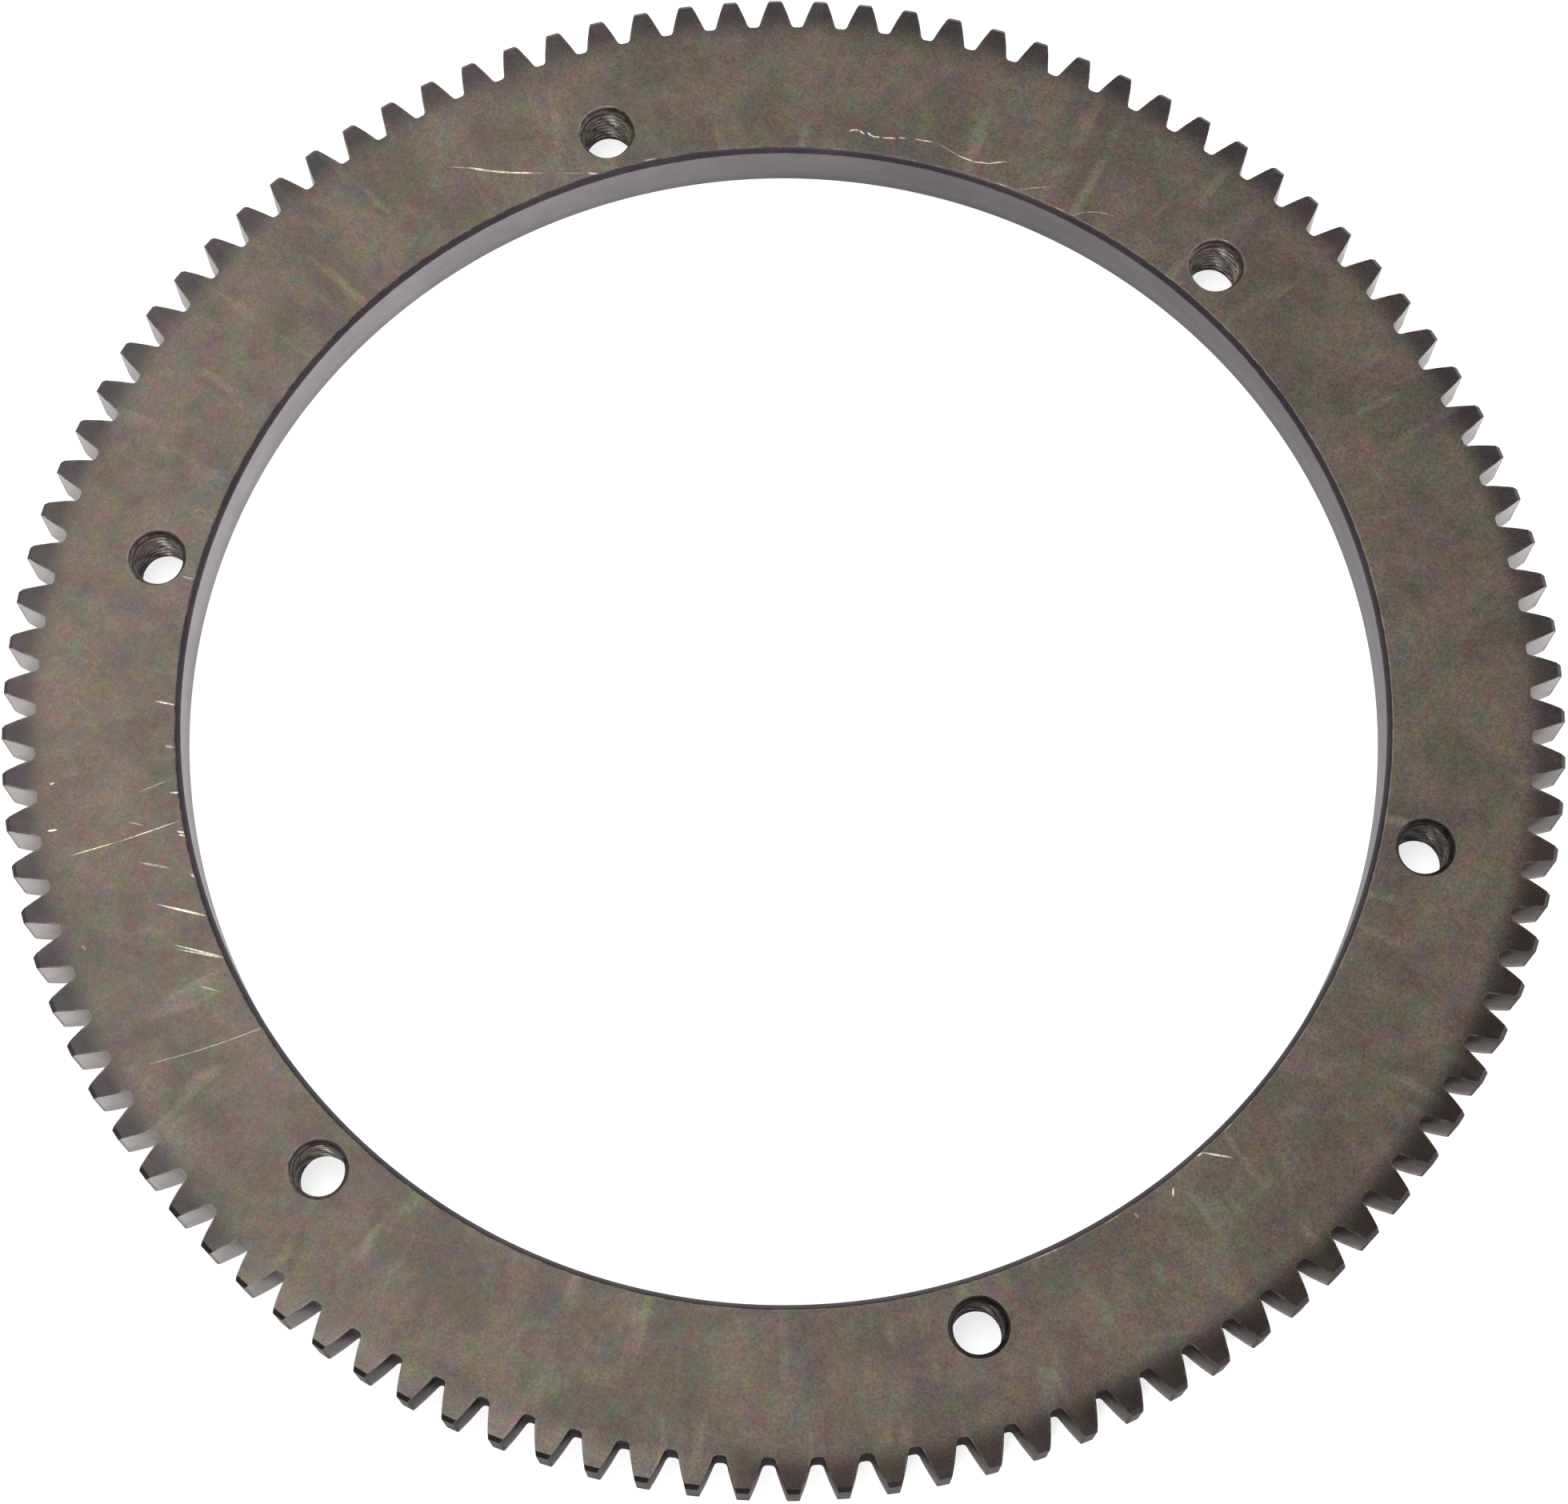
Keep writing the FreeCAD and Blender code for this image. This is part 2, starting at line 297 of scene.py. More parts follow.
@dataclass
class RingGear:
    """The whole gear: rim, teeth, bore and tapped holes, as one closed surface.

    Round each hole is a block of the flat face, a whole number of columns wide, in which the
    straight columns of the rim change into circles round the hole.
    """

    thickness: float = 9.525
    bore_radius: float = 84.93
    bore_chamfer: float = 0.73
    bore_edge_break: float = 0.15
    bevel_radius: float = 103.704
    bevel_angle: float = 2.5
    bevel_margin: float = 0.4
    lower_tip_chamfer: float = 0.37
    bolt_count: int = 6
    bolt_circle_radius: float = 91.8
    minor_radius: float = 3.45
    major_radius: float = 3.97
    thread_pitch: float = 25.4 / 24.0
    thread_steepness: float = 0.62
    thread_margin: float = 0.12
    thread_rows: int = 60
    thread_starts: tuple[float, ...] = (0.95, 0.84, 0.73, 0.62, 0.47, 0.16)
    mouth_radius: float = 4.2
    lower_mouth_radius: float = 3.52
    lead_in_slope: float = 0.5
    lead_in_wear: float = 0.38
    crest_wear: float = 0.5
    edge_break: float = 0.05
    wear_width: float = 0.22
    bore_rim_share: float = 0.8
    chamfer_wear_width: float = 0.25
    bore_wear_width: float = 0.3
    block_columns: int = 15
    block_rows: int = 6
    block_radii: Span = (86.2, 98.2)
    collar_shares: Triple = (0.0, 0.4, 0.75)
    wall_shares: tuple[float, ...] = (0.0, 0.05, 0.5, 0.95, 1.0)
    form: ToothForm = field(default_factory=ToothForm)
    sheet: Patchwork = field(default_factory=Patchwork)

    def __post_init__(self) -> None:
        """Work out the angles of the rim's columns and of the holes."""
        self.columns = 2 * self.form.foot + len(self.form.across) + 1
        total = self.columns * self.form.count
        self.ring = np.arange(total + 1) * FULL_TURN / total
        self.bolt_turns = np.arange(self.bolt_count) * FULL_TURN / self.bolt_count
        self.bolt_centre = np.array([self.bolt_circle_radius, 0.0, 0.0])

    def top(self, radius: np.ndarray) -> np.ndarray:
        """Height of the upper side: flat, then the shallow bevel, then 45 degrees at the tips.

        Args:
            radius: Distances from the axis.

        Returns:
            The heights.
        """
        slope = np.tan(np.radians(self.bevel_angle))
        chamfer_start = self.form.tip_radius - self.form.tip_chamfer
        on_bevel = np.clip(radius, self.bevel_radius, chamfer_start) - self.bevel_radius
        return self.thickness - slope * on_bevel - np.maximum(radius - chamfer_start, 0.0)

    def bottom(self, radius: np.ndarray) -> np.ndarray:
        """Height of the lower side: flat, then 45 degrees at the tips."""
        return np.maximum(radius - self.form.tip_radius + self.lower_tip_chamfer, 0.0)

    def half_pitch(self, inset: float) -> Pair:
        """The outline from the middle of a space to the tip land, as radii and angles.

        Args:
            inset: How far it is moved into the steel along its normals.

        Returns:
            Its radii and its angles.
        """
        outline, facing = self.form.half_outline()
        moved = outline - inset * facing
        return np.hypot(*moved.T), np.arctan2(moved[:, 1], moved[:, 0])

    def whole_pitch(self, radii: np.ndarray, angles: np.ndarray) -> Pair:
        """Half a pitch, the points over the tooth from its last point on, and its mirror image.

        Args:
            radii: Radii from the middle of a space on.
            angles: Their angles.

        Returns:
            Radii and angles, from the middle of one space to the middle of the next.
        """
        pitch = self.form.pitch
        over = angles[-1] + (pitch - 2.0 * angles[-1]) * np.array(self.form.across)
        reach = np.concatenate([radii, np.full(len(over), radii[-1]), radii[::-1]])
        return reach, np.concatenate([angles, over, (pitch - angles)[::-1]])

    def foot_line(self, inset: float) -> Pair:
        """Radii and angles of the line, over one pitch, from which the teeth rise."""
        return self.whole_pitch(*(part[: self.form.foot + 1] for part in self.half_pitch(inset)))

    def add_teeth(self, grid: np.ndarray, zone: Zone, wear: np.ndarray) -> None:
        """Add the grid of one pitch for every tooth."""
        turns = np.arange(self.form.count) * self.form.pitch
        self.sheet.add(turned(grid, turns), zone, wear)

    def revolve(self, profile: list[Triple], zone: Zone) -> None:
        """Turn a profile, given as radius, height and wear of each point, about the axis."""
        radius, height, wear = np.array(profile).T[..., None]
        self.sheet.add(polar(radius, self.ring, height), zone, wear)

    def side(self, upper: bool) -> None:
        """The upper or lower side: rim under the teeth, tooth faces and flat face.

        Args:
            upper: Whether it is the upper side.
        """
        height = self.top if upper else self.bottom
        zone = Zone.FACE if upper else Zone.UNDERSIDE
        even = np.arange(self.columns + 1) * self.form.pitch / self.columns
        start_radii, start_angles = self.foot_line(self.edge_break)
        worn_radii, worn_angles = self.foot_line(self.edge_break + self.wear_width)
        bevel = np.full(len(even), self.bevel_radius)
        radii = np.stack([start_radii, worn_radii, bevel + self.bevel_margin, bevel])
        evened = worn_angles + (even - worn_angles) * 2.0 / 3.0
        angles = np.stack([start_angles, worn_angles, evened, even])
        wear = np.zeros(radii.shape)
        wear[0, : self.form.foot + 1] = 1.0
        wear[0, -self.form.foot - 1 :] = 1.0
        self.add_teeth(polar(radii, angles, height(radii)), zone, wear)

        radius, angle = (part[self.form.foot :, None] for part in self.half_pitch(self.edge_break))
        across = np.array([0.0, *self.form.across, 1.0])
        grid = polar(radius, angle + (self.form.pitch - 2.0 * angle) * across, height(radius))
        wear = np.zeros(grid.shape[:2])
        wear[:, [0, -1]] = 1.0
        wear[-1] = 1.0
        split = self.form.flank_steps
        self.add_teeth(grid[: split + 1], zone, wear[: split + 1])
        self.add_teeth(grid[split:], Zone.CHAMFER, wear[split:])
        self.flat_face(upper, zone)

    def flat_face(self, upper: bool, zone: Zone) -> None:
        """The flat ring between bore and bevel, with a collar round each tapped hole.

        Args:
            upper: Whether it is on the upper side.
            zone: The finish of its faces.
        """
        level = self.thickness if upper else 0.0
        chamfer = self.bore_chamfer if upper else self.bore_edge_break
        mouth = self.mouth_radius if upper else self.lower_mouth_radius
        inner, outer = self.block_radii
        edge = self.bore_radius + chamfer + self.edge_break
        middle = (self.bevel_radius + outer) / 2.0
        worn = edge + self.bore_rim_share * self.wear_width
        self.revolve([(radius, level, 0.0) for radius in (self.bevel_radius, middle, outer)], zone)
        self.revolve([(inner, level, 0.0), (worn, level, 0.0), (edge, level, 1.0)], zone)

        rows = np.linspace(outer, inner, self.block_rows + 1)[:, None]
        sector = (len(self.ring) - 1) // self.bolt_count
        between = self.ring[self.block_columns : sector - self.block_columns + 1]
        self.sheet.add(turned(polar(rows, between, level), self.bolt_turns), zone)

        loop = self.block_loop(level)
        rim = self.hole_circle(mouth + self.edge_break, level)
        near = self.hole_circle(mouth + self.edge_break + self.wear_width, level)
        shares = np.array(self.collar_shares)[:, None, None]
        collar = np.concatenate([loop + (near - loop) * shares, [near, rim]])
        wear = np.zeros(collar.shape[:2])
        wear[-1] = 1.0
        self.sheet.add(turned(collar, self.bolt_turns), zone, wear)

    def block_loop(self, level: float) -> np.ndarray:
        """The border of the block round the hole on +X, anticlockwise and closed.

        Args:
            level: Its height.

        Returns:
            Its points, the first again at the end.
        """
        inner, outer = self.block_radii
        span = np.arange(-self.block_columns, self.block_columns + 1) * self.ring[1]
        rows = np.linspace(outer, inner, self.block_rows + 1)
        sides = [
            polar(outer, span, level)[:-1],
            polar(rows, span[-1], level)[:-1],
            polar(inner, span[::-1], level)[:-1],
            polar(rows[::-1], span[0], level),
        ]
        return np.concatenate(sides)

    def hole_angles(self) -> np.ndarray:
        """Angles round a hole that match the block's border, part even and part by direction.

        Returns:
            The angles, from the block's first corner on, the first again at the end.
        """
        away = self.block_loop(0.0) - self.bolt_centre
        direction = np.unwrap(np.arctan2(away[:, 1], away[:, 0]))
        even = direction[0] + np.linspace(0.0, FULL_TURN, len(away))
        return 0.5 * (direction + even)

    def hole_circle(self, radius: Values, level: Values) -> np.ndarray:
        """Circles round the hole on +X, with one point for each of the block's border."""
        return polar(radius, self.hole_angles(), level) + self.bolt_centre

    def bore(self) -> None:
        """The bore's wall with its chamfers: a profile turned about the axis."""
        low, wall = self.edge_break, self.bore_radius
        top, mouth = self.thickness, self.bore_radius + self.bore_chamfer
        shoulder = top - self.bore_chamfer
        foot = wall + self.bore_edge_break
        worn = self.chamfer_wear_width
        chamfer_rows = [
            (mouth + low, top, 1.0), (mouth - low, top - low, 1.0), (mouth - worn, top - worn, 0.0),
            (wall + low, shoulder + low, 0.6), (wall, shoulder - low, 1.0),
        ]
        wall_rows = [
            (wall, shoulder - low, 1.0), (wall, shoulder - low - self.bore_wear_width, 0.0),
            (wall, top * 0.5, 0.0), (wall, self.bore_edge_break + 2.0 * low, 0.3),
            (foot, 0.0, 1.0), (foot + low, 0.0, 1.0),
        ]
        self.revolve(chamfer_rows, Zone.CHAMFER)
        self.revolve(wall_rows, Zone.BORE)

    def tooth_walls(self) -> None:
        """The walls of the tooth spaces and the tip lands, from the upper to the lower side."""
        low = self.edge_break
        reach, turn = self.whole_pitch(*self.half_pitch(0.0))
        inset_reach, inset_turn = self.whole_pitch(*self.half_pitch(low))
        high, deep = self.top(reach) - low, self.bottom(reach) + low
        levels = high + (deep - high) * np.array(self.wall_shares)[:, None]
        upper, lower = (
            polar(inset_reach, inset_turn, side(inset_reach)) for side in (self.top, self.bottom)
        )
        grid = np.concatenate([upper[None], polar(reach, turn, levels), lower[None]])
        wear = np.zeros(grid.shape[:2])
        wear[[0, 1, -2, -1]] = 1.0
        self.add_teeth(grid, Zone.FLANK, wear)

    def tapped_holes(self) -> None:
        """The holes, each tapped by itself, so that its thread starts at its own angle."""
        for turn, start in zip(self.bolt_turns, self.thread_starts):
            grid, wear = self.tapped_hole(start)
            self.sheet.add(turned(grid, turn), Zone.THREAD, wear)

    def tapped_hole(self, start: float) -> Pair:
        """The wall of the hole on +X: a thread's ridges over height and angle, and its lead-in.

        Height over pitch, less the angle's share of a turn, is the place along the thread. Its
        sine, made steeper and held between 0 and 1, gives flats at crest and root. Near the
        upper mouth it is cut back by a cone, the countersink and the tap's lead-in in one.

        Args:
            start: Where the thread starts, as a share of a turn.

        Returns:
            The grid of points, and the wear at each.
        """
        low = self.edge_break
        high, margin = self.thickness - low, self.thread_margin
        inner = np.linspace(high - margin, low + margin, self.thread_rows)
        heights = np.concatenate([[high], inner, [low]])[:, None]
        along = heights / self.thread_pitch - self.hole_angles() / FULL_TURN + start
        ridge = smooth_step(0.5 + self.thread_steepness * np.sin(FULL_TURN * along))
        thread = self.minor_radius + (self.major_radius - self.minor_radius) * ridge
        cone = self.mouth_radius - self.lead_in_slope * (self.thickness - heights)
        radius = np.maximum(thread, cone)
        radius[-1] = self.lower_mouth_radius
        upper = self.hole_circle(self.mouth_radius + low, self.thickness)
        lower = self.hole_circle(self.lower_mouth_radius + low, 0.0)
        grid = np.concatenate([upper[None], self.hole_circle(radius, heights), lower[None]])
        wear = np.ones(grid.shape[:2])
        cut = np.where(thread > cone, self.crest_wear * (1.0 - ridge), self.lead_in_wear)
        wear[2:-2] = cut[1:-1]
        return grid, wear

    def build(self) -> bpy.types.Object:
        """Make the gear's surface as one closed object.

        Returns:
            The object.
        """
        self.side(upper=True)
        self.side(upper=False)
        self.bore()
        self.tooth_walls()
        self.tapped_holes()
        return self.sheet.build("ring_gear_surface", weld=0.004, crease=32.0)


# Materials


class Board:
    """A node tree, with short calls that add a node, feed it and return its output."""

    def __init__(self, tree: bpy.types.NodeTree) -> None:
        """Keep the tree that the nodes go into."""
        self.tree = tree

    def add(self, kind: str, **settings: object) -> bpy.types.Node:
        """Add a node.

        Args:
            kind: The node's type, without the leading ShaderNode.
            **settings: Properties to set on it.

        Returns:
            The node.
        """
        prefix = "" if kind.startswith("NodeGroup") else "ShaderNode"
        node = self.tree.nodes.new(prefix + kind)
        for key, value in settings.items():
            setattr(node, key, value)
        return node

    def feed(self, socket: Socket, value: object) -> None:
        """Link an output to a socket, or set the socket's own value."""
        if isinstance(value, Socket):
            self.tree.links.new(value, socket)
        elif value is not None:
            socket.default_value = value

    def step(self, kind: str, values: tuple, **settings: object) -> bpy.types.Node:
        """Add a node and feed its inputs in their order."""
        node = self.add(kind, **settings)
        for socket, value in zip(node.inputs, values):
            self.feed(socket, value)
        return node

    def math(self, operation: str, *values: object) -> Socket:
        """One step of arithmetic on numbers."""
        return self.step("Math", values, operation=operation).outputs[0]

    def vector(self, operation: str, *values: object) -> Socket:
        """One step of arithmetic on vectors; a length or dot product comes back as a number."""
        node = self.step("VectorMath", values, operation=operation)
        return node.outputs["Value" if operation in ("LENGTH", "DOT_PRODUCT") else "Vector"]

    def scale(self, value: object, factor: object) -> Socket:
        """A vector or a colour times one number."""
        scaled = self.vector("SCALE", value)
        self.feed(scaled.node.inputs["Scale"], factor)
        return scaled

    def parts(self, vector: Socket) -> bpy.types.NodeOutputs:
        """The outputs X, Y and Z of a vector."""
        return self.step("SeparateXYZ", (vector,)).outputs

    def upright(self, length: Socket) -> Socket:
        """A vector along Z, of the given length."""
        return self.step("CombineXYZ", (None, None, length)).outputs[0]

    def noise(self, place: Socket, scale: float, detail: float, roughness: float,
              distortion: float = 0.0, output: str = "Fac") -> Socket:
        """Smooth noise between 0 and 1.

        Args:
            place: Where it is read, in millimetres.
            scale: Cells in a millimetre.
            detail: How many finer layers it has.
            roughness: How strong the finer layers are.
            distortion: How much it is warped.
            output: Fac for one noise, Color for three as red, green and blue.

        Returns:
            The noise's value.
        """
        node = self.add("TexNoise", noise_dimensions="3D")
        for key, value in (
            ("Vector", place), ("Scale", scale), ("Detail", detail),
            ("Roughness", roughness), ("Distortion", distortion),
        ):
            self.feed(node.inputs[key], value)
        return node.outputs[output]

    def ease(self, value: Socket, low: float, high: float, start: float = 0.0,
             end: float = 1.0) -> Socket:
        """Ease smoothly from start to end while the value goes from low to high."""
        values = (value, low, high, start, end)
        return self.step("MapRange", values, interpolation_type="SMOOTHSTEP").outputs["Result"]

    def mix(self, share: Socket, first: float, second: float) -> Socket:
        """Go in a straight line from the first number to the second."""
        return self.math("MULTIPLY_ADD", share, second - first, first)

    def tint(self, share: Socket, first: object, second: object) -> Socket:
        """Mix two colours.

        Args:
            share: The second colour's share.
            first: A colour or an output.
            second: A colour or an output.

        Returns:
            The mixed colour.
        """
        node = self.step("Mix", (share,), data_type="RGBA")
        colours = [socket for socket in node.inputs if socket.type == "RGBA"]
        for socket, value in zip(colours, (first, second)):
            self.feed(socket, (*value, 1.0) if isinstance(value, tuple) else value)
        return [socket for socket in node.outputs if socket.type == "RGBA"][0]

    def group(self, name: str, **values: object) -> bpy.types.NodeOutputs:
        """Use a shared effect.

        Args:
            name: The effect's name.
            **values: What its inputs are fed with.

        Returns:
            Its outputs.
        """
        node = self.add("Group", node_tree=bpy.data.node_groups[name])
        for key, value in values.items():
            self.feed(node.inputs[key], value)
        return node.outputs


# Factors that drop the height, ranges of noise, and directions from the axis
IN_PLANE = (1.0, 1.0, 0.0)
GRAIN_SPAN = (0.25, 0.75)
SPOT_SPAN = (0.3, 0.7)
GLOSS_SPAN = (0.2, 0.8)
STAINED_TOWARDS = (0.60, -0.80, 0.0)
STAINED_SPAN = (0.30, 0.66)
NEAR_SIDE = (-0.186, -0.983, 0.0)
LIT_TOWARDS = (-0.94, -0.34, 0.0)


def new_effect(
    name: str, inputs: dict[str, str], outputs: dict[str, str]
) -> tuple[Board, bpy.types.NodeOutputs, bpy.types.NodeInputs]:
    """A new node group for a shared effect.

    Args:
        name: Its name.
        inputs: Name and kind, Float, Vector or Color, of each input.
        outputs: Name and kind of each output.

    Returns:
        The board for it, the sockets that give its inputs and the sockets that take its outputs.
    """
    tree = bpy.data.node_groups.new(name, "ShaderNodeTree")
    for direction, sockets in (("INPUT", inputs), ("OUTPUT", outputs)):
        for key, kind in sockets.items():
            tree.interface.new_socket(key, in_out=direction, socket_type="NodeSocket" + kind)
    board = Board(tree)
    return board, board.add("NodeGroupInput").outputs, board.add("NodeGroupOutput").inputs


def mottle_effect() -> None:
    """Clouds, short radial streaks, coloured blotches and fine grain of the heat-treated skin.

    The streaks read the direction from the axis at full length and the distance from it at a
    fifth or so, so they come out between four and five times as long as they are wide. The
    blotches are three noises, one for each of red, green and blue, that multiply the colour by a
    little over or under 1.
    """
    board, given, taken = new_effect(
        "skin_mottle",
        {"Place": "Vector", "Colouring": "Float"},
        {"Cloud": "Float", "Streak": "Float", "Grain": "Float", "Blotch": "Color"},
    )
    mean_radius, stretch = 95.0, 0.22
    place = given["Place"]
    flat = board.vector("MULTIPLY", place, IN_PLANE)
    depth = board.upright(board.math("MULTIPLY", board.vector("LENGTH", flat), stretch))
    round_place = board.scale(board.vector("NORMALIZE", flat), mean_radius)
    streak_place = board.vector("ADD", round_place, depth)
    three = board.noise(place, scale=0.33, detail=4.0, roughness=0.92, output="Color")
    spread = board.vector("SUBTRACT", three, (0.5, 0.5, 0.5))
    blotch = board.scale(spread, given["Colouring"])
    cloud = board.noise(place, scale=0.085, detail=4.0, roughness=0.62, distortion=0.4)
    streak = board.noise(streak_place, scale=0.3, detail=2.0, roughness=0.5, distortion=0.2)
    board.feed(taken["Cloud"], cloud)
    board.feed(taken["Streak"], streak)
    board.feed(taken["Grain"], board.noise(place, scale=3.2, detail=3.0, roughness=0.8))
    board.feed(taken["Blotch"], board.vector("ADD", blotch, (1.0, 1.0, 1.0)))


def wear_effect() -> None:
    """Broken wear along the edges: the wear value times patches of noise."""
    board, given, taken = new_effect(
        "edge_wear", {"Place": "Vector", "Wear": "Float"}, {"Mask": "Float"}
    )
    patches = board.noise(given["Place"], scale=0.55, detail=3.0, roughness=0.7)
    patches = board.ease(patches, low=0.42, high=0.66)
    near = board.ease(given["Wear"], low=0.35, high=1.0)
    board.feed(taken["Mask"], board.math("MULTIPLY", near, patches))


# Start x and y, end x and y, width and bow of each scratch, in millimetres
SCRATCHES = {
    "Bright": (
        (-91.3, -45.2, -85.4, -41.7, 0.24),
        (-85.6, -41.9, -77.6, -36.6, 0.2, -0.1),
        (-77.8, -38.3, -76.5, -38.2, 0.34),
        (-77.4, -38.7, -76.2, -38.6, 0.4),
        (-74.2, -43.8, -73.3, -44.0, 0.6),
        (-77.8, -49.0, -69.9, -49.0, 0.46, -0.15),
        (-73.8, -54.0, -66.2, -54.1, 0.34),
        (-73.3, -54.5, -66.2, -54.2, 0.32),
        (-86.1, -20.7, -82.8, -20.6, 0.36),
        (-80.3, -33.1, -78.9, -32.8, 0.36),
        (-97.0, -35.9, -96.3, -35.5, 0.5),
        (-95.4, -42.5, -93.9, -41.9, 0.4),
        (-11.1, 88.0, -8.9, 88.1, 0.36, 0.45),
        (-8.4, 88.4, -6.6, 88.1, 0.4, -0.25),
        (-6.2, 88.1, -4.1, 88.5, 0.36),
        (-3.9, 88.7, -2.6, 88.8, 0.34),
        (-1.6, 89.0, 1.6, 89.2, 0.26),
        (5.4, 87.9, 12.4, 88.6, 0.28, -0.75),
        (11.6, 84.9, 14.9, 84.4, 0.3),
        (20.7, 83.1, 23.1, 82.4, 0.5),
        (-64.0, 69.2, -55.1, 70.5, 0.44, -0.25),
        (-47.1, 72.4, -45.3, 72.7, 0.4),
        (70.0, -49.4, 74.6, -49.1, 0.38),
        (69.2, -50.3, 70.4, -49.3, 0.4),
        (67.3, -54.9, 67.6, -56.3, 0.4),
    ),
    "Faint": (
        (-84.9, -38.6, -82.3, -38.5, 0.24),
        (-81.8, -43.8, -77.0, -43.6, 0.5),
        (-68.8, -58.8, -65.6, -58.9, 0.36),
        (-71.7, -70.6, -58.4, -62.3, 0.26, -0.3),
        (-86.0, -57.0, -85.1, -57.6, 0.3),
        (-84.9, -34.4, -80.2, -30.8, 0.2),
        (-82.9, -26.7, -81.5, -26.7, 0.6),
        (-87.8, -1.9, -85.5, -2.0, 0.34),
        (1.8, 89.2, 6.0, 87.7, 0.26, 0.1),
        (14.5, 84.4, 20.3, 86.4, 0.24, 0.1),
        (23.7, 82.4, 29.5, 83.8, 0.28, 0.6),
        (-67.4, 68.6, -63.2, 69.3, 0.24),
        (-56.0, 70.3, -53.0, 71.0, 0.26),
        (-51.5, 71.4, -46.8, 72.4, 0.16),
        (-39.8, 76.2, -37.2, 77.1, 0.6),
        (72.1, -46.1, 73.3, -44.4, 0.5),
        (62.9, -59.6, 63.7, -60.2, 0.6),
        (59.1, -62.0, 61.1, -60.3, 0.44),
        (50.0, -69.5, 55.0, -66.1, 0.36),
    ),
    "Wiped": (
        (55.3, -68.0, 64.3, -75.5, 2.6),
        (66.6, -75.9, 75.6, -72.8, 1.4),
        (75.6, -72.8, 83.4, -63.2, 1.4),
        (49.6, -82.4, 52.2, -85.6, 1.8),
        (36.4, -92.7, 37.9, -96.0, 1.6),
        (59.2, -66.0, 64.0, -69.6, 0.9),
        (72.6, -65.0, 76.2, -68.2, 0.9),
    ),
}

# A scratch with more bow than BOWED_FROM is drawn with BOW_STROKES strokes that overlap
BOWED_FROM = 0.2
BOW_STROKES = 3
STROKE_OVERLAP = 0.18

# Length and width of a stroke's ellipse against its own, and where its full strength begins
ELLIPSE_LENGTH = 1.1
ELLIPSE_WIDTH = 0.9
CORES = {"Bright": 0.45, "Faint": 0.45, "Wiped": 0.1}
FAR_AWAY = 9.0


@dataclass(frozen=True)
class Scratch:
    """A scratch on the upper face: where it starts and ends, its width and its bow."""

    start_x: float
    start_y: float
    end_x: float
    end_y: float
    width: float
    bow: float = 0.0

    def strokes(self) -> np.ndarray:
        """Start and end of the straight strokes that it is drawn with: one, or three for a bow.

        The bow is a parabola: its height times 4 s (1 - s), with s the share of the way along.

        Returns:
            An array with axes of strokes, start and end, and x and y.
        """
        count = BOW_STROKES if abs(self.bow) > BOWED_FROM else 1
        run = np.array([self.end_x - self.start_x, self.end_y - self.start_y])
        beside = np.array([-run[1], run[0]]) / np.hypot(*run)
        share = np.linspace(0.0, 1.0, count + 1)[:, None]
        bowed = 4.0 * self.bow * share * (1.0 - share) * beside
        points = np.array([self.start_x, self.start_y]) + run * share + bowed
        overlap = STROKE_OVERLAP * (points[1:] - points[:-1]) * (count > 1)
        return np.stack([points[:-1] - overlap, points[1:] + overlap], axis=1)


def stroke_plane(first: np.ndarray, last: np.ndarray, width: float) -> tuple[Triple, ...]:
    """How x and y lead to a stroke's own plane.

    That plane has the stroke's middle at the origin, its ends at 1 and -1 and its sides at 1 and
    -1, so that the distance from its origin is under 1 on the stroke.

    Args:
        first: Where the stroke starts.
        last: Where it ends.
        width: The scratch's width.

    Returns:
        The vector that x is multiplied by, the one for y, and the one that is added.
    """
    middle, half = (first + last) / 2.0, (last - first) / 2.0
    length, side = np.hypot(*half) * ELLIPSE_LENGTH, width / 2.0 * ELLIPSE_WIDTH
    along = half / np.hypot(*half)
    by_x = np.array([along[0] / length, -along[1] / side, 0.0])
    by_y = np.array([along[1] / length, along[0] / side, 0.0])
    shift = -(middle[0] * by_x + middle[1] * by_y)
    return tuple(tuple(map(float, part)) for part in (by_x, by_y, shift))


def scratch_effect() -> None:
    """Scratches as thin ellipses: the least distance to any stroke of a kind makes its mask."""
    board, given, taken = new_effect(
        "face_scratches", {"Place": "Vector"}, dict.fromkeys(SCRATCHES, "Float")
    )
    parts = board.parts(given["Place"])
    across, upward = (board.scale((1.0, 1.0, 1.0), parts[axis]) for axis in ("X", "Y"))
    for kind, rows in SCRATCHES.items():
        nearest: Socket | float = FAR_AWAY
        for scratch in (Scratch(*row) for row in rows):
            for first, last in scratch.strokes():
                by_x, by_y, shift = stroke_plane(first, last, scratch.width)
                local = board.vector("MULTIPLY_ADD", across, by_x, shift)
                local = board.vector("MULTIPLY_ADD", upward, by_y, local)
                nearest = board.math("MINIMUM", board.vector("LENGTH", local), nearest)
        board.feed(taken[kind], board.ease(nearest, 1.0, CORES[kind]))


@dataclass(frozen=True)
class Skin:
    """What a pattern reads: places on the gear in millimetres, wear and the shared effects.

    Reach and heading are a place's distance and direction from the axis.
    """

    board: Board
    place: Socket
    reach: Socket
    heading: Socket
    wear: Socket
    worn: Socket
    cloud: Socket
    streak: Socket
    grain: Socket
    blotch: Socket

    def towards(self, direction: Triple) -> Socket:
        """The cosine of the angle between a place's direction from the axis and another one."""
        return self.board.vector("DOT_PRODUCT", self.heading, direction)

    def stained(self) -> Socket:
        """Mask of the side of the gear that is stained brown."""
        return self.board.ease(self.towards(STAINED_TOWARDS), *STAINED_SPAN)


@dataclass(frozen=True)
class Look:
    """What a finish feeds to its shader; metallic and the edge tint only if they vary."""

    colour: Socket
    rough: Socket
    height: Socket
    metallic: Socket | None = None
    edge_tint: Socket | None = None


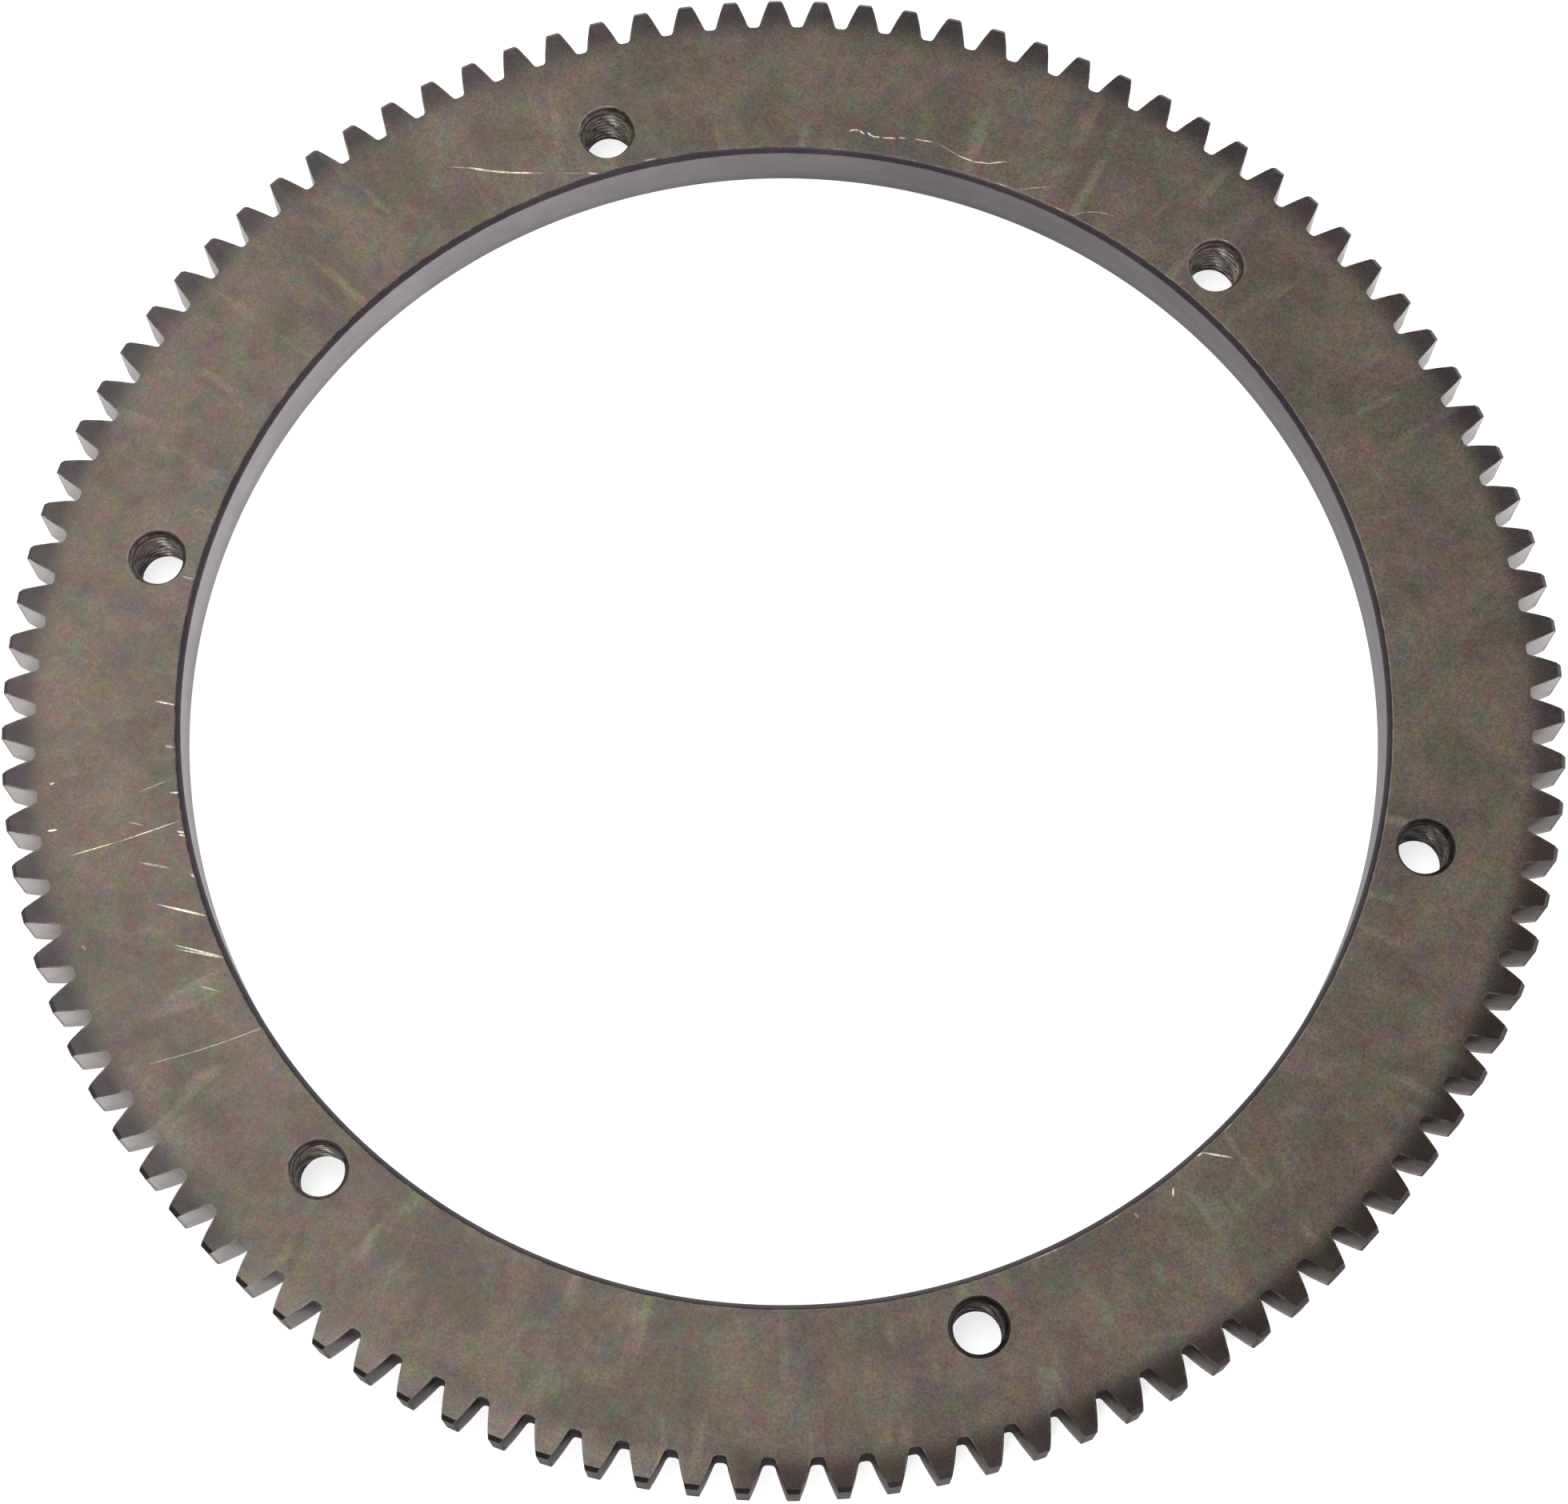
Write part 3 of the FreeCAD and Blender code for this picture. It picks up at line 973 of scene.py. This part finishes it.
def new_material(name: str) -> tuple[bpy.types.Material, Board, bpy.types.NodeInputs]:
    """A new material, the board for its nodes and the inputs of its shader."""
    made = bpy.data.materials.new(name)
    made.use_nodes = True
    return made, Board(made.node_tree), made.node_tree.nodes["Principled BSDF"].inputs


@dataclass(frozen=True)
class SteelFinish:
    """A finish of the gear's steel: colours, gloss and the depth of its surface marks."""

    name: str
    base: Triple
    second: Triple
    metallic: float
    roughness: float
    relief: float
    colouring: float = 0.3
    specular: float = 0.5
    bright: Triple = (0.56, 0.51, 0.32)
    edge_tint: Triple = (1.0, 1.0, 1.0)
    tone_span: Span = (0.35, 0.7)
    grain_shades: Span = (0.9, 1.1)
    gloss_spread: Span = (-0.05, 0.07)

    def material(self) -> bpy.types.Material:
        """Make the material.

        Returns:
            The material.
        """
        made, board, shader = new_material(self.name)
        look = self.pattern(self.skin(board))
        bump = board.add("Bump")
        for inputs, key, value in (
            (shader, "Metallic", self.metallic),
            (shader, "Specular IOR Level", self.specular),
            (shader, "Specular Tint", (*self.edge_tint, 1.0)),
            (shader, "Base Color", look.colour),
            (shader, "Roughness", look.rough),
            (shader, "Metallic", look.metallic),
            (shader, "Specular Tint", look.edge_tint),
            (bump.inputs, "Strength", 1.0),
            (bump.inputs, "Distance", self.relief * MM),
            (bump.inputs, "Height", look.height),
            (shader, "Normal", bump.outputs["Normal"]),
        ):
            board.feed(inputs[key], value)
        return made

    def skin(self, board: Board) -> Skin:
        """The places, the mesh's wear value and the shared effects.

        Args:
            board: The board to work on.

        Returns:
            What the pattern reads.
        """
        place = board.scale(board.add("TexCoord").outputs["Object"], 1.0 / MM)
        flat = board.vector("MULTIPLY", place, IN_PLANE)
        wear = board.add("Attribute", attribute_name="wear").outputs["Fac"]
        mottle = board.group("skin_mottle", Place=place, Colouring=self.colouring)
        return Skin(
            board=board, place=place, reach=board.vector("LENGTH", flat),
            heading=board.vector("NORMALIZE", flat), wear=wear,
            worn=board.group("edge_wear", Place=place, Wear=wear)["Mask"],
            cloud=mottle["Cloud"], streak=mottle["Streak"], grain=mottle["Grain"],
            blotch=mottle["Blotch"],
        )

    def rough_ends(self) -> tuple[float, ...]:
        """The least and the greatest roughness."""
        return tuple(self.roughness + change for change in self.gloss_spread)

    def pattern(self, skin: Skin) -> Look:
        """Colour, roughness and height of the finish; each kind of finish has its own."""
        raise NotImplementedError


@dataclass(frozen=True)
class PhosphatedFace(SteelFinish):
    """The flat faces, matt and blotched brown-grey, and the bevel, darker and smoother.

    The bevel's edge and its darkening near the teeth on one side wander with the clouds: their
    radii are compared with the distance from the axis plus the waviness times the cloud value.
    """

    tone_span: Span = (0.38, 0.62)
    streak: Triple = (0.225, 0.198, 0.138)
    streak_ease: tuple[float, ...] = (0.57, 0.78, 0.0, 0.7)
    grain_shades: Span = (0.58, 1.42)
    waviness: float = 1.6
    bevel: Triple = (0.445, 0.445, 0.56)
    bevel_radii: Span = (104.4, 108.4)
    bevel_metallic: float = 0.6
    bevel_roughness: float = 0.42
    brown: Triple = (0.41, 0.345, 0.38)
    # painted highlight: the bevel made lighter and bluer towards the near side
    bevel_highlight: Triple = (1.18, 1.19, 1.26)
    rub_and_highlight_span: Span = (0.92, 0.962)
    # painted shade: lit_ease darkens the bevel towards LIT_TOWARDS
    lit_ease: tuple[float, ...] = (0.3, 0.95, 1.0, 0.8)
    edge_darkening: float = 0.58
    darkened_towards: Triple = (0.875, -0.485, 0.0)
    darkened_span: Span = (0.80, 0.96)
    darkened_radii: Span = (103.8, 107.0)
    worn_share: float = 0.24
    scratched: bool = True
    scratch: Triple = (0.88, 0.82, 0.68)
    faint_share: float = 0.36
    gap_ease: tuple[float, ...] = (0.34, 0.56, 0.3, 1.0)
    wiped_share: float = 0.03

    def pattern(self, skin: Skin) -> Look:
        """Clouds of two tones, coloured blotches, pale streaks, the bevel and the scratches."""
        board = skin.board
        colour = board.tint(board.ease(skin.cloud, *self.tone_span), self.second, self.base)
        colour = board.tint(board.ease(skin.streak, *self.streak_ease), colour, self.streak)
        colour = board.vector("MULTIPLY", colour, skin.blotch)
        colour = board.scale(colour, board.ease(skin.grain, *GRAIN_SPAN, *self.grain_shades))

        wavy = board.math("MULTIPLY_ADD", skin.cloud, self.waviness, skin.reach)
        edge = board.ease(wavy, *self.bevel_radii)
        on_bevel = board.vector("MULTIPLY", colour, self.bevel_tone(skin))
        colour = board.tint(edge, colour, on_bevel)
        # the bevel darker near the teeth on one side, by direction and radius
        darkened = board.ease(skin.towards(self.darkened_towards), *self.darkened_span)
        darkened = board.math("MULTIPLY", darkened, board.ease(wavy, *self.darkened_radii))
        colour = board.scale(colour, board.mix(darkened, 1.0, self.edge_darkening))
        metallic = board.mix(edge, self.metallic, self.bevel_metallic)
        gloss = board.mix(edge, self.roughness, self.bevel_roughness)
        change = board.ease(skin.grain, *GLOSS_SPAN, *self.gloss_spread)
        rough = board.math("ADD", gloss, change)

        colour = board.tint(board.math("MULTIPLY", skin.worn, self.worn_share), colour, self.bright)
        if self.scratched:
            colour = self.scratches(skin, colour)
        return Look(colour, rough, skin.grain, metallic)

    def bevel_tone(self, skin: Skin) -> Socket:
        """The bevel's colour as a share of the face's: grey, brown stain or painted highlight."""
        board = skin.board
        tone = board.tint(skin.stained(), self.bevel, self.brown)
        # painted highlight on the bevel towards the near side
        bevel_highlight = board.ease(skin.towards(NEAR_SIDE), *self.rub_and_highlight_span)
        tone = board.tint(bevel_highlight, tone, self.bevel_highlight)
        # painted shade: the bevel darkened on the side towards LIT_TOWARDS
        return board.scale(tone, board.ease(skin.towards(LIT_TOWARDS), *self.lit_ease))

    def scratches(self, skin: Skin, colour: Socket) -> Socket:
        """Draw the scratches, broken up by noise, and the wiped streaks over a colour."""
        board = skin.board
        cuts = board.group("face_scratches", Place=skin.place)
        gaps = board.noise(skin.place, scale=1.5, detail=3.0, roughness=0.7)
        broken = board.ease(gaps, *self.gap_ease)
        faint = board.math("MULTIPLY", cuts["Faint"], self.faint_share)
        cut = board.math("MULTIPLY", board.math("MAXIMUM", cuts["Bright"], faint), broken)
        wiped = board.math("MULTIPLY", cuts["Wiped"], self.wiped_share)
        colour = board.tint(wiped, colour, self.scratch)
        return board.tint(cut, colour, self.scratch)


@dataclass(frozen=True)
class TurnedSteel(SteelFinish):
    """Surfaces turned on a lathe: bore wall and chamfers, with fine lines round the axis."""

    lines: float = 9.0
    stretch: Triple = (0.02, 0.02, 1.0)
    reach_share: float = 0.7
    # tip chamfers darker: partly a darker finish, and towards the near side a painted dark
    # reflection
    rim_and_reflection_shades: Span = (0.8, 0.3)
    rim_radii: Span = (95.0, 105.0)
    dark_reflection_span: Span = (0.80, 0.93)
    # painted light and shade: lit_span and lit_shades set the colour by the direction LIT_TOWARDS
    lit_span: Span = (-0.3, 0.9)
    lit_shades: Span = (0.74, 1.22)
    worn_share: float = 0.16
    line_shades: Span = (0.92, 1.08)
    gloss_spread: Span = (-0.04, 0.05)

    def pattern(self, skin: Skin) -> Look:
        """Two tones in clouds, and turning lines that follow height and distance."""
        board = skin.board
        depth = board.upright(board.math("MULTIPLY", skin.reach, self.reach_share))
        stretched = board.vector("MULTIPLY_ADD", skin.place, self.stretch, depth)
        cuts = board.noise(stretched, scale=self.lines, detail=3.0, roughness=0.7)
        colour = board.tint(board.ease(skin.cloud, *self.tone_span), self.second, self.base)
        colour = board.vector("MULTIPLY", colour, skin.blotch)
        loss = (shade - 1.0 for shade in self.rim_and_reflection_shades)
        # painted reflection: the tip chamfers near black towards the near side, on top of their
        # darker finish
        near = board.ease(skin.towards(NEAR_SIDE), *self.dark_reflection_span, *loss)
        for shade in (
            board.ease(cuts, *SPOT_SPAN, *self.line_shades),
            board.math("MULTIPLY_ADD", board.ease(skin.reach, *self.rim_radii), near, 1.0),
            # painted light and shade: colour raised on one side and lowered on the other, by
            # LIT_TOWARDS
            board.ease(skin.towards(LIT_TOWARDS), *self.lit_span, *self.lit_shades),
            board.ease(skin.grain, *SPOT_SPAN, *self.grain_shades),
        ):
            colour = board.scale(colour, shade)
        colour = board.tint(board.math("MULTIPLY", skin.worn, self.worn_share), colour, self.bright)
        return Look(colour, board.ease(cuts, *SPOT_SPAN, *self.rough_ends()), cuts)


@dataclass(frozen=True)
class HobbedFlank(SteelFinish):
    """The walls of the tooth spaces, darker in their roots, and the tip lands.

    One side of the gear is stained brown, its colour darkest near the upper edge, where the dark
    of the roots also comes further out; a painted reflection lightens its lower edge.
    """

    feed: float = 0.9
    feed_relief: float = 0.3
    stain: Triple = (0.270, 0.232, 0.228)
    stain_ease: tuple[float, ...] = (1.5, 9.3, 1.22, 0.48)
    # painted reflection along the lower edge of the stained flanks
    lower_edge_reflection_ease: tuple[float, ...] = (0.5, 2.6, 1.9, 1.0)
    root: Triple = (0.042, 0.027, 0.026)
    root_radii: Span = (104.9, 107.4)
    root_levels: Span = (4.0, 9.5)
    root_rise: float = 1.5
    root_roughness: float = 0.75
    root_shade_ease: tuple[float, ...] = (104.9, 106.8, 0.55, 1.0)
    land: Triple = (0.152, 0.136, 0.106)
    land_radii: Span = (109.6, 109.9)
    worn_shares: Span = (0.35, 0.05)
    stained_tint: float = 0.3
    level_noise: Span = (-0.5, 0.5)
    grain_shades: Span = (0.86, 1.14)
    gloss_spread: Span = (-0.05, 0.06)

    def pattern(self, skin: Skin) -> Look:
        """Two tones in small clouds, the stain, its dark roots, warm lands and feed waves."""
        board, reach, stained = skin.board, skin.reach, skin.stained()
        level = board.parts(skin.place)["Z"]
        spots = board.noise(skin.place, scale=0.5, detail=3.0, roughness=0.65)
        upper = board.math("ADD", level, board.ease(spots, *SPOT_SPAN, *self.level_noise))
        rise = board.ease(upper, *self.root_levels)
        depth = board.math("MULTIPLY_ADD", rise, -self.root_rise, reach)
        dark = board.math("MULTIPLY", board.ease(depth, *self.root_radii, 1.0, 0.0), stained)

        colour = board.tint(board.ease(spots, *SPOT_SPAN), self.second, self.base)
        colour = board.scale(colour, board.ease(reach, *self.root_shade_ease))
        stain = board.scale(self.stain, board.ease(upper, *self.stain_ease))
        # painted reflection: a lighter strip along the lower edge of the stained flanks
        stain = board.scale(stain, board.ease(level, *self.lower_edge_reflection_ease))
        colour = board.tint(stained, colour, stain)
        colour = board.tint(dark, colour, self.root)
        colour = board.tint(board.ease(reach, *self.land_radii), colour, self.land)
        colour = board.vector("MULTIPLY", colour, skin.blotch)
        colour = board.scale(colour, board.ease(skin.grain, *GRAIN_SPAN, *self.grain_shades))
        worn = board.math("MULTIPLY", skin.worn, board.mix(stained, *self.worn_shares))
        colour = board.tint(worn, colour, self.bright)

        wave = board.math("SINE", board.math("MULTIPLY", level, FULL_TURN / self.feed))
        rough = board.mix(dark, self.roughness, self.root_roughness)
        rough = board.math("ADD", rough, board.ease(spots, *SPOT_SPAN, *self.gloss_spread))
        height = board.math("MULTIPLY_ADD", wave, self.feed_relief, skin.grain)
        edge_tint = board.scale(self.edge_tint, board.mix(stained, 1.0, self.stained_tint))
        return Look(colour, rough, height, board.mix(dark, self.metallic, 0.0), edge_tint)


@dataclass(frozen=True)
class TappedThread(SteelFinish):
    """The threads: dark and a little oily, brighter where the crests were cut."""

    crest_share: float = 0.55
    crest_span: Span = (0.22, 0.5)
    rub_and_highlight_span: Span = (0.2, 0.6)
    stained_shade: float = 0.3
    gloss_spread: Span = (-0.06, 0.08)

    def pattern(self, skin: Skin) -> Look:
        """Two dark tones, and crests worn bright where the mesh's wear value is high."""
        board = skin.board
        spots = board.noise(skin.place, scale=0.9, detail=3.0, roughness=0.7)
        colour = board.tint(board.ease(spots, *self.tone_span), self.second, self.base)
        crest = board.ease(skin.wear, *self.crest_span)
        crest = board.math("MULTIPLY", crest, board.ease(spots, *self.rub_and_highlight_span))
        colour = board.tint(board.math("MULTIPLY", crest, self.crest_share), colour, self.bright)
        colour = board.vector("MULTIPLY", colour, skin.blotch)
        colour = board.scale(colour, board.mix(skin.stained(), 1.0, self.stained_shade))
        return Look(colour, board.ease(skin.grain, *GLOSS_SPAN, *self.rough_ends()), skin.grain)


@dataclass
class Finishes:
    """The finish of each zone of the gear."""

    face: SteelFinish = PhosphatedFace(
        name="phosphated_face", base=(0.162, 0.129, 0.100), second=(0.120, 0.098, 0.078),
        metallic=0.55, roughness=0.48, relief=0.012, colouring=1.4,
    )
    underside: SteelFinish = replace(face, name="phosphated_underside", scratched=False)
    bore: SteelFinish = TurnedSteel(
        name="turned_bore", base=(0.235, 0.216, 0.219), second=(0.190, 0.175, 0.183),
        metallic=0.5, roughness=0.36, relief=0.004, edge_tint=(0.96, 0.91, 0.93),
    )
    chamfer: SteelFinish = TurnedSteel(
        name="turned_chamfer", base=(0.085, 0.064, 0.076), second=(0.060, 0.047, 0.060),
        metallic=0.5, roughness=0.32, relief=0.006, lit_shades=(1.15, 0.85),
    )
    flank: SteelFinish = HobbedFlank(
        name="hobbed_flank", base=(0.56, 0.52, 0.505), second=(0.40, 0.365, 0.355),
        metallic=0.85, roughness=0.34, relief=0.008, specular=0.12,
    )
    thread: SteelFinish = TappedThread(
        name="tapped_thread", base=(0.138, 0.102, 0.090), second=(0.086, 0.062, 0.058),
        metallic=0.62, roughness=0.34, relief=0.008, colouring=0.8, specular=0.3,
        bright=(0.75, 0.68, 0.60),
    )

    def dress(self, gear: bpy.types.Object) -> None:
        """Give each zone of the gear its material, in the order of the zones.

        Args:
            gear: The gear's surface.
        """
        mottle_effect()
        wear_effect()
        scratch_effect()
        for zone in Zone:
            finish = getattr(self, zone.name.lower())
            gear.data.materials.append(finish.material())
            LOG.info("finish: %s", finish.name)


# Table, light and camera


@dataclass(frozen=True)
class Lamp:
    """A square soft lamp that faces the gear, and whether the steel mirrors it; in metres."""

    name: str
    place: Triple
    side: float
    power: float
    mirrored: bool = True

    def build(self) -> None:
        """Put the lamp in the scene."""
        data = bpy.data.lights.new(self.name, "AREA")
        data.shape = "SQUARE"
        data.size = self.side
        data.energy = self.power
        lamp = new_object(self.name, data)
        place = Vector(self.place)
        turn = (-place).to_track_quat("-Z", "Y").to_matrix().to_4x4()
        lamp.matrix_world = Matrix.Translation(place) @ turn
        lamp.visible_glossy = self.mirrored


LAMPS = (
    Lamp("high_left", (-0.55, 0.35, 1.45), 0.8, 8.2),
    Lamp("low_right", (1.3, -0.1, 0.2), 0.36, 20.0, mirrored=False),
    Lamp("overhead", (-0.244, 0.055, 1.5), 0.25, 1.6),
    Lamp("near_side", (-0.10, -1.1, 1.27), 0.2, 4.4),
)


@dataclass
class Studio:
    """A pale table, soft lamps, a soft sky and the camera; the table's sizes are in metres."""

    eye: Triple = (36.528, -156.216, 516.328)
    right: Triple = (0.97261, 0.232437, 0.001588)
    up: Triple = (-0.222489, 0.928964, 0.295847)
    back: Triple = (0.06729, -0.288097, 0.955234)
    lens: float = 86.697
    sensor: float = 36.0
    shift_y: float = -0.01792
    clip: Span = (0.01, 50.0)
    table_half_side: float = 3.0
    table_drop: float = 0.00002
    table_colour: Triple = (0.82, 0.82, 0.82)
    table_roughness: float = 0.9
    table_seen: float = 0.75
    table_mirrored: float = 0.32
    sky_top: float = 0.85
    sky_levels: Span = (0.1, 0.34)

    def camera(self) -> None:
        """The camera, at the photograph's viewing angle."""
        data = bpy.data.cameras.new("camera")
        data.sensor_width = self.sensor
        data.lens = self.lens
        data.shift_y = self.shift_y
        data.clip_start, data.clip_end = self.clip
        camera = new_object("camera", data)
        turn = Matrix((self.right, self.up, self.back)).transposed().to_4x4()
        camera.matrix_world = Matrix.Translation(Vector(self.eye) * MM) @ turn
        bpy.context.scene.camera = camera

    def table(self) -> None:
        """A flat pale table. It shows white, also in the steel, and keeps the shadow."""
        half, level = self.table_half_side, -self.table_drop
        corners = [(-half, -half), (half, -half), (half, half), (-half, half)]
        mesh = bpy.data.meshes.new("table")
        mesh.from_pydata([(x, y, level) for x, y in corners], [], [(0, 1, 2, 3)])
        table = new_object("table", mesh)
        made, board, shader = new_material("pale_table")
        rays = board.add("LightPath").outputs
        mirrored = board.math("MAXIMUM", rays["Is Glossy Ray"], rays["Is Transmission Ray"])
        mirrored = board.math("MULTIPLY", mirrored, self.table_mirrored)
        lift = board.math("MULTIPLY_ADD", rays["Is Camera Ray"], self.table_seen, mirrored)
        board.feed(shader["Base Color"], (*self.table_colour, 1.0))
        board.feed(shader["Roughness"], self.table_roughness)
        board.feed(shader["Emission Color"], (1.0, 1.0, 1.0, 1.0))
        board.feed(shader["Emission Strength"], lift)
        mesh.materials.append(made)

    def sky(self) -> None:
        """Soft light from all around, brightest overhead and dim at the horizon."""
        world = bpy.data.worlds.new("studio")
        world.use_nodes = True
        bpy.context.scene.world = world
        board = Board(world.node_tree)
        height = board.parts(board.add("TexCoord").outputs["Generated"])["Z"]
        level = board.ease(height, 0.0, self.sky_top, *self.sky_levels)
        camera_ray = board.add("LightPath").outputs["Is Camera Ray"]
        background = world.node_tree.nodes["Background"].inputs
        board.feed(background["Strength"], board.math("MAXIMUM", level, camera_ray))
        board.feed(background["Color"], (1.0, 1.0, 1.0, 1.0))

    def build(self) -> None:
        """Set up the whole studio."""
        self.camera()
        self.table()
        self.sky()
        for lamp in LAMPS:
            lamp.build()
        LOG.info("studio: table, sky, %d lamps and camera", len(LAMPS))


def main() -> None:
    """Build the gear, dress it and set up the studio."""
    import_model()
    bpy.context.scene.view_settings.view_transform = "Standard"
    gear = RingGear().build()
    Finishes().dress(gear)
    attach(gear, "root")
    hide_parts("ring_gear")
    Studio().build()


if __name__ == "__main__":
    logging.basicConfig(level=logging.INFO, format="%(name)s: %(message)s")
    main()
